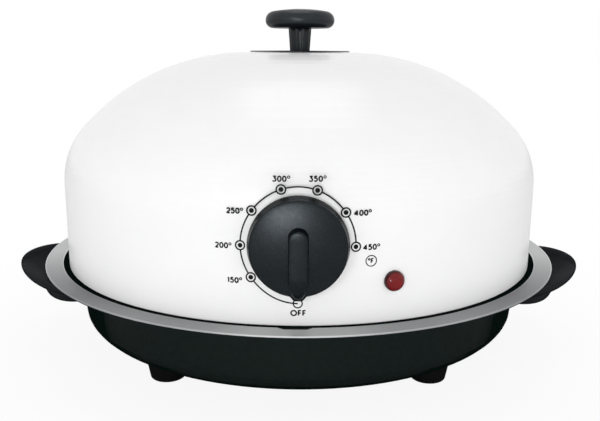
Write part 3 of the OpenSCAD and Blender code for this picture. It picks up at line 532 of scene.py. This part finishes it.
def drum():
    """Turned body of the dial with a soft nose drawn out of its side at the bottom."""
    skirt_r, lean, back, face, crown = 26.6, 1.2, 1.5, 9.1, 1.6
    bevel, edge, crown_power = 0.3, 1.0, 2.3
    nose_top, nose_top_inset, nose_draft, nose_blend = 7.6, 0.7, 0.1, 0.5
    wall_steps, crown_steps = 10, 24
    nose_side = -0.8  # sine of the angle below which the nose is looked for
    face_r = skirt_r - lean

    def reach(a, round_r, inset):
        """Distance from the axis to the drum's side, found by halving where the nose may be."""
        c, s = math.cos(a), math.sin(a)
        if inset is None or s > nose_side:
            return round_r
        low, high = 10.0, 32.0
        for _ in range(24):
            t = (low + high) / 2
            d = blended(t - round_r, nose_distance(t * c, t * s, inset), nose_blend)
            low, high = (t, high) if d < 0 else (low, t)
        return low

    def wall_at(k):
        return back + edge + (face - 2 * edge - back) * k / wall_steps

    # Radius, distance from the dome, and how far the nose is set in, or None above the nose
    levels = [(skirt_r - bevel, back, bevel), (skirt_r, back + bevel, 0.0),
              (skirt_r, back + edge, 0.0)]
    for k in range(1, wall_steps + 1):
        r, d = skirt_r - lean * k / wall_steps, wall_at(k)
        levels.append((r, d, nose_draft * k / wall_steps if d < nose_top else None))
        if d < nose_top < wall_at(k + 1):
            levels.append((r, nose_top, nose_top_inset))
    levels += [(r, d, None) for r, d in arc(face_r - edge, face - edge, edge, edge, 8, 80, 7)]
    rim = levels[-1][0]
    for k in range(1, crown_steps + 1):
        r = rim * (1 - k / crown_steps)
        levels.append((max(r, ON_AXIS), face + crown * (1 - (r / rim) ** crown_power), None))
    rings = []
    for r, d, inset in levels:
        reaches = [(reach(a, r, inset), a) for a in turns(288)]
        rings.append([on_wall(t * math.cos(a), t * math.sin(a), d) for t, a in reaches])
    return skin(rings)


def grip_bar():
    """Bar across the dial, round at the top and drawn to a bow over the nose."""
    waist, base, bar_top, crest_half, top_centre = -12.5, 6.9, 16.3, 4.3, 6.05
    fall_y, fall_l, fall, fall_power = -14.0, 13.5, 7.4, 1.7
    end_steps, side_steps, bow_steps = 16, 14, 33

    def outline(half, centre, bow_y, blunt):
        """Right half outline, from the bar's top end down its side to the point of its bow."""
        pts = [(half * math.sin(t), centre + half * math.cos(t))
               for t in (math.pi / 2 * k / end_steps for k in range(end_steps + 1))]
        pts += [(half, centre + (waist - centre) * k / side_steps)
                for k in range(1, side_steps + 1)]
        for t in (math.pi / 2 * k / bow_steps for k in range(1, bow_steps)):
            pts.append((half * math.cos(t) ** (2 / blunt),
                        waist + (bow_y - waist) * math.sin(t) ** 0.9))
        return pts + [(0.0, bow_y)]

    def top_at(y):
        """Distance of the bar's top from the dome, which falls towards the nose."""
        t = min(1.0, max(0.0, (fall_y - y) / fall_l))
        return bar_top - fall * t ** fall_power

    # Half width, centre of the top end, point of the bow, bluntness of the bow, share of the height
    walls = [(5.4, 6.8, -27.1, 2.6, 0.0), (5.3, 6.6, -26.9, 2.5, 0.3),
             (5.1, 6.3, -26.5, 2.3, 0.6), (4.9, top_centre, -26.0, 2.1, 0.85)]
    # Rounded edge of the top
    for a in (math.radians(d) for d in (10, 35, 60, 80)):
        walls.append((crest_half + 0.52 * math.cos(a), top_centre, -24.6 - 1.0 * math.cos(a), 2.0,
                      0.9 + 0.075 * math.sin(a)))
    # Crowned top
    for k in (0.8, 0.55, 0.3, 0.1):
        walls.append((crest_half * k, top_centre, -20.0 - 4.6 * k, 2.0,
                      0.976 + 0.02 * (1 - k * k)))
    rings = []
    for half, centre, bow_y, blunt, share in walls:
        side = outline(half, centre, bow_y, blunt)
        pts = side + [(-x, y) for x, y in reversed(side[1:-1])]
        rings.append([on_wall(x, y, base + (top_at(y) - base) * share) for x, y in pts])
    verts, faces = skin(rings, closed_ends=False)
    # The back is one face, the top a strip of faces from side to side
    n, last = len(rings[0]), len(verts) - len(rings[0])
    faces += [tuple(range(n - 1, -1, -1)), (last, last + 1, last + n - 1)]
    faces += [(last + i, last + i + 1, last + n - i - 1, last + n - i)
              for i in range(1, n // 2 - 1)]
    faces.append((last + n // 2 - 1, last + n // 2, last + n // 2 + 1))
    return verts, faces


def dial():
    v, f = join([drum(), grip_bar()])
    piece = add_mesh("dial_moulding", v, f, "dial_plastic", "control", 50)
    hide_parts("dial")


# ---- Handles ----


def soft_slab(rx, ry, thick, under, over):
    """Oval slab from z = 0 up, with (width, height) of its rounded lower and upper edges."""
    outline = arc(-under[0], under[1], under[0], under[1], -85, 0, 18)
    outline += arc(-over[0], thick - over[1], over[0], over[1], 4, 86, 14)
    levels = [(-under[0], 0), *outline, (-over[0], thick)]
    return skin([
        [((rx + out) * math.cos(a), (ry + out) * math.sin(a), z) for a in turns(128)]
        for out, z in levels
    ])


def handles():
    """Ear over a root block, both cut to the pan's wall and flange."""
    reach, top_z, tilt_deg = 46.37, 61.1, -12.3
    ear_rx, ear_ry, ear_t = 47.6, 54.0, 13.1
    root_rx, root_ry, root_h, root_x, root_z = 29.0, 41.6, 15.0, PAN_R + 2.4, 33.3
    v, f = soft_slab(ear_rx, ear_ry, ear_t, under=(22, 10.48), over=(10, 2.6))
    place = (
        Matrix.Translation((PAN_R + reach, 0, top_z))
        @ Matrix.Rotation(math.radians(tilt_deg), 4, "Y")
        @ Matrix.Translation((-ear_rx, 0, -ear_t))
    )
    ear = ([tuple(place @ Vector(p)) for p in v], f)
    v, f = soft_slab(root_rx, root_ry, root_h, under=(5.8, 8.4), over=(5.8, 1.0))
    root = ([(x + root_x, y, z + root_z) for x, y, z in v], f)
    # What the pan's wall, its flange and the air above them take, as (r, z) points
    room = lathe([(0, 10), (140.4, 10), (153.95, 32.8), (157.15, 63.0), (218, 63.0), (218, 90),
                  (0, 90)], 360)
    body, block, cutter = (
        new_object(name, *shape, merge=False)
        for name, shape in (("ear", ear), ("root", root), ("room", room))
    )
    for other, operation in ((block, "UNION"), (cutter, "DIFFERENCE")):
        step = body.modifiers.new(operation, "BOOLEAN")
        step.object = other
        step.operation = operation
        step.solver = "EXACT"
    bpy.context.view_layer.update()
    shaped = body.evaluated_get(bpy.context.evaluated_depsgraph_get())
    done = bpy.data.meshes.new_from_object(shaped)
    for obj in (body, block, cutter):
        bpy.data.objects.remove(obj)
    right = [(v.co.x / MM, v.co.y / MM, v.co.z / MM) for v in done.vertices]
    faces = [tuple(p.vertices) for p in done.polygons]
    bpy.data.meshes.remove(done)
    for name, side in (("handle_right", 1), ("handle_left", -1)):
        verts = [(side * x, y, z) for x, y, z in right]
        piece = add_mesh(name + "_moulding", verts, faces, "handle_plastic", "base", 40)
        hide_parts(name)


# ---- Heating element ----


def tube(path, radius):
    """Skin of a round tube along a path of points."""
    pts = [Vector(p) for p in path]
    side = None
    rings = []
    for i, p in enumerate(pts):
        way = (pts[min(i + 1, len(pts) - 1)] - pts[max(i - 1, 0)]).normalized()
        if side is None:
            side = way.cross(Vector((1, 0, 0))).normalized()
        side = (side - side.dot(way) * way).normalized()
        up = way.cross(side)
        rings.append([tuple(p + radius * (math.cos(t) * side + math.sin(t) * up))
                      for t in turns(24)])
    return skin(rings)


def heating_element():
    """Bent tube that runs nearly once round, with both ends turned up to its cold pins."""
    ring_r, tube_r, tube_z, bend, top_z = 101.75, 3.25, 136.15, 9.0, 152.65
    pin_r, pin_in, pin_out = 1.6, 1, 8
    bend_steps, ring_steps = 12, 140
    start = math.radians(104.9)
    sweep = math.radians(540) - 2 * start
    end = Vector((ring_r * math.cos(start), ring_r * math.sin(start), tube_z))
    back = Vector((math.sin(start), -math.cos(start), 0))
    leg = [end + back * bend + Vector((0, 0, top_z - tube_z))]
    for k in range(bend_steps + 1):
        t = math.radians(90 - 90 * k / bend_steps)
        leg.append(end + back * bend * math.sin(t) + Vector((0, 0, bend * (1 - math.cos(t)))))
    around = [
        Vector((ring_r * math.cos(a), ring_r * math.sin(a), tube_z))
        for a in (start + sweep * k / ring_steps for k in range(1, ring_steps))
    ]
    mirrored = [Vector((-p.x, p.y, p.z)) for p in reversed(leg)]
    parts = [tube(leg + around + mirrored, tube_r)]
    for p in (leg[0], mirrored[-1]):
        parts.append(tube([p - Vector((0, 0, pin_in)), p + Vector((0, 0, pin_out))], pin_r))
    v, f = join(parts)
    piece = add_mesh("element_tube", v, f, "element_sheath", "dome", 50)
    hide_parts("heating_element")


# ---- Scale printed on the dome ----


def on_dome(x, y):
    """A point of the print: x along the wall to the right and y up, from the print's centre."""
    ink_t = 0.06
    a = x / DOME_R
    r = DOME_R + ink_t
    return (r * math.sin(a), -r * math.cos(a), PRINT_Z + y)


def ribbon(path, width, closed=False):
    """A flat stroke of even width along a path of (x, y) points, laid on the dome's wall."""
    n = len(path)
    left, right = [], []
    for i, (x, y) in enumerate(path):
        if closed:
            px, py = path[i - 1]
            nx, ny = path[(i + 1) % n]
        else:
            px, py = path[max(i - 1, 0)]
            nx, ny = path[min(i + 1, n - 1)]
        dx, dy = nx - px, ny - py
        length = math.hypot(dx, dy) or 1.0
        ox, oy = -dy / length * width / 2, dx / length * width / 2
        left.append((x + ox, y + oy))
        right.append((x - ox, y - oy))
    verts = [on_dome(*p) for p in left + right]
    last = n if closed else n - 1
    faces = [(i, (i + 1) % n, n + (i + 1) % n, n + i) for i in range(last)]
    return verts, faces


def disc(x, y, r):
    pts = loop(x, y, r, 32)
    return [on_dome(*p) for p in pts], [tuple(range(len(pts)))]


def circle(x, y, r, width):
    return ribbon(loop(x, y, r, 48), width, closed=True)


def polyline(points):
    """Straight strokes, cut up so that they follow the dome."""
    steps = 6
    out = []
    for (x0, y0), (x1, y1) in zip(points, points[1:]):
        out += [(x0 + (x1 - x0) * k / steps, y0 + (y1 - y0) * k / steps) for k in range(steps)]
    return out + [points[-1]]


def glyphs():
    """For each sign its outer width as a share of its height, and its strokes in a 1 by 1 box."""
    oval = arc(0.5, 0.5, 0.5, 0.5, 0, 360, 40)
    two = arc(0.5, 0.7, 0.48, 0.3, 165, -32, 18)
    two += polyline([two[-1], (0.02, 0.0), (1.0, 0.0)])[1:]
    three = polyline([(0.06, 1.0), (0.94, 1.0), (0.47, 0.62)])
    three += arc(0.44, 0.31, 0.54, 0.31, 84, -152, 22)
    five = polyline([(0.94, 1.0), (0.2, 1.0), (0.13, 0.57)])
    five += arc(0.43, 0.33, 0.55, 0.33, 118, -148, 24)
    return {
        "0": (0.74, [oval]),
        "O": (1.04, [oval]),
        "1": (0.42, [polyline([(0.0, 0.82), (0.75, 1.0), (0.75, 0.0)])]),
        "2": (0.7, [two]),
        "3": (0.72, [three]),
        "4": (0.8, [polyline([(0.72, 0.0), (0.72, 1.0), (0.0, 0.27), (1.0, 0.27)])]),
        "5": (0.7, [five]),
        "F": (0.6, [polyline([(1.0, 1.0), (0.0, 1.0), (0.0, 0.0)]),
                    polyline([(0.0, 0.5), (0.85, 0.5)])]),
    }


GLYPHS = glyphs()


def words(text, cx, cy, height, stroke, gap, degree=0.0):
    """Strokes of a line of signs centred on a point; degree is the size of the sign "o"."""
    widths = [degree if sign == "o" else GLYPHS[sign][0] * height for sign in text]
    x = cx - (sum(widths) + gap * (len(text) - 1)) / 2
    low = cy - height / 2 + stroke / 2
    fine = min(stroke, 0.52)
    parts = []
    for sign, w in zip(text, widths):
        if sign == "o":
            parts.append(circle(x + w / 2, cy + height / 2 - w / 2 + 0.1, (w - fine) / 2, fine))
        else:
            for path in GLYPHS[sign][1]:
                parts.append(ribbon([(x + stroke / 2 + u * (w - stroke),
                                      low + v * (height - stroke)) for u, v in path], stroke))
        x += w + gap
    return parts


def scale_print():
    """Ring of marks round the dial, a little taller than wide, with its numbers."""
    cx, cy, rx, ry, flatten, line, arc_steps = -0.2, 0.0, 30.3, 31.15, 0.012, 0.8, 24
    mark_r, mark_line, dot_r, off_r, off_line = 2.4, 0.8, 1.28, 2.35, 0.68
    unit_r, unit_line = 2.9, 0.55
    off, *marks = (math.radians(-a) for a in (90, 145.6, 179.3, 216.5, 253, 289, 325.3, 361.6))
    clear = (mark_r + 0.3) / rx
    parts = []

    def on_ring(a):
        k = 1 - flatten * math.sin(2 * a) ** 2
        return cx + k * rx * math.cos(a), cy + k * ry * math.sin(a)

    # The line starts in the circle of OFF and stays clear of the others
    for start, mark in zip([off] + [a - clear for a in marks], marks):
        finish = mark + clear
        parts.append(ribbon([on_ring(start + (finish - start) * k / arc_steps)
                             for k in range(arc_steps + 1)], line))
    for a in marks:
        parts += [circle(*on_ring(a), mark_r, mark_line), disc(*on_ring(a), dot_r)]
    parts.append(circle(*on_ring(off), off_r, off_line))
    for text, x, y in (
        ("150", -33.7, -19.5), ("200", -39.7, -0.9), ("250", -33.2, 17.9), ("300", -8.9, 35.2),
        ("350", 9.6, 35.3), ("400", 33.4, 17.1), ("450", 38.6, -1.4),
    ):
        parts += words(text + "o", x, y, height=3.3, stroke=0.78, gap=0.12, degree=1.7)
    parts += words("OFF", 0.1, -36.4, height=3.5, stroke=0.8, gap=0.3)
    parts.append(circle(38.6, -8.9, unit_r, unit_line))
    parts += words("oF", 38.4, -8.9, height=3.0, stroke=0.7, gap=0.12, degree=1.4)
    v, f = join(parts)
    add_mesh("scale_print", v, f, "scale_ink", "dome", 60)


lid_knob()
dial()
handles()
heating_element()
scale_print()


# ---- Stage, lights and camera ----

WHITE = (1, 1, 1, 1)


def world_light():
    """Soft light all round, and a white background where it is seen or mirrored."""
    world = bpy.data.worlds.new("studio")
    bpy.context.scene.world = world
    world.use_nodes = True
    world.node_tree.nodes.clear()
    tree = Nodes(world.node_tree)

    def background(strength):
        light = tree.node("ShaderNodeBackground")
        light.inputs["Color"].default_value = WHITE
        light.inputs["Strength"].default_value = strength
        return light.outputs["Background"]

    rays = tree.node("ShaderNodeLightPath").outputs
    seen = tree.maths("MAXIMUM", rays["Is Camera Ray"], rays["Is Glossy Ray"])
    seen = tree.maths("MAXIMUM", seen, rays["Is Transmission Ray"])
    out = tree.node("ShaderNodeOutputWorld")
    tree.link(tree.mix_shaders(seen, background(0.6), background(1.0)), out.inputs["Surface"])


def floor():
    """Matte floor that keeps the shadow and passes into the white background."""
    half, below, near, far = 4.0, 0.0005, 0.1, 0.42
    white_near = 0.91  # share of plain white near the object; the rest takes light and shadow
    corners = [(-half, -half, 0), (half, -half, 0), (half, half, 0), (-half, half, 0)]
    mesh = bpy.data.meshes.new("floor")
    mesh.from_pydata(corners, [], [(0, 1, 2, 3)])
    obj = bpy.data.objects.new("floor", mesh)
    obj.location.z = -below
    bpy.context.scene.collection.objects.link(obj)
    mat = bpy.data.materials.new("floor_white")
    mat.use_nodes = True
    mat.node_tree.nodes.clear()
    tree = Nodes(mat.node_tree)
    matte = tree.node("ShaderNodeBsdfDiffuse")
    matte.inputs["Color"].default_value = (0.86, 0.86, 0.86, 1)
    glow = tree.node("ShaderNodeEmission")
    glow.inputs["Color"].default_value = WHITE
    glow.inputs["Strength"].default_value = 1.0
    away = tree.node("ShaderNodeVectorMath", operation="LENGTH")
    tree.link(tree.node("ShaderNodeTexCoord").outputs["Object"], away.inputs[0])
    white = tree.map_range(away.outputs["Value"], (near, far), (white_near, 1.0),
                           interpolation_type="SMOOTHSTEP")
    seen = tree.node("ShaderNodeLightPath").outputs["Is Camera Ray"]
    share = tree.maths("MULTIPLY", seen, white)
    out = tree.node("ShaderNodeOutputMaterial")
    tree.link(tree.mix_shaders(share, matte.outputs["BSDF"], glow.outputs["Emission"]),
              out.inputs["Surface"])
    mesh.materials.append(mat)


def lamp(name, place, aim, size, power, mirrored=True):
    """Softbox at a place, turned to its aim; one that isn't mirrored leaves no highlight."""
    light = bpy.data.lights.new(name, "AREA")
    light.shape = "RECTANGLE"
    light.size, light.size_y = size
    light.energy = power
    obj = bpy.data.objects.new(name, light)
    obj.location = place
    obj.rotation_euler = (Vector(aim) - Vector(place)).to_track_quat("-Z", "Y").to_euler()
    obj.visible_glossy = mirrored
    bpy.context.scene.collection.objects.link(obj)


def camera():
    """The photo's camera, as fitted to it."""
    place, down_deg, roll_deg = (0.00073, -0.5272, 0.2083), 12.40, 0.32
    data = bpy.data.cameras.new("camera")
    data.sensor_width = 36.0
    data.lens = 43.78
    obj = bpy.data.objects.new("camera", data)
    tilt = Matrix.Rotation(math.radians(90 - down_deg), 4, "X")
    roll = Matrix.Rotation(math.radians(roll_deg), 4, "Z")
    obj.matrix_world = Matrix.Translation(place) @ tilt @ roll
    bpy.context.scene.collection.objects.link(obj)
    bpy.context.scene.camera = obj


world_light()
floor()
lamp("key", (-0.42, -1.2, 0.42), (0, -0.1, 0.1), (0.2, 0.2), 1.7)
lamp("front", (-0.1, -1.16, 0.1), (0, -0.16, 0.11), (0.22, 0.12), 2.1)
lamp("top", (0, 0.3, 1.5), (0, 0, 0.1), (0.8, 0.8), 3.6)
# Fills light the enamel evenly and leave no hot spot on it
lamp("left", (-1.5, 0.1, 0.4), (0, 0, 0.1), (0.8, 0.6), 1.8, mirrored=False)
lamp("right", (1.5, 0.0, 0.4), (0, 0, 0.1), (0.8, 0.6), 2.4, mirrored=False)
lamp("low", (0.7, -1.2, 0.1), (0, 0, 0.08), (0.6, 0.2), 1.1, mirrored=False)
lamp("back", (0.2, 1.6, 0.7), (0, 0, 0.1), (1.0, 1.0), 2.0, mirrored=False)
camera()
bpy.context.scene.view_settings.view_transform = "Standard"
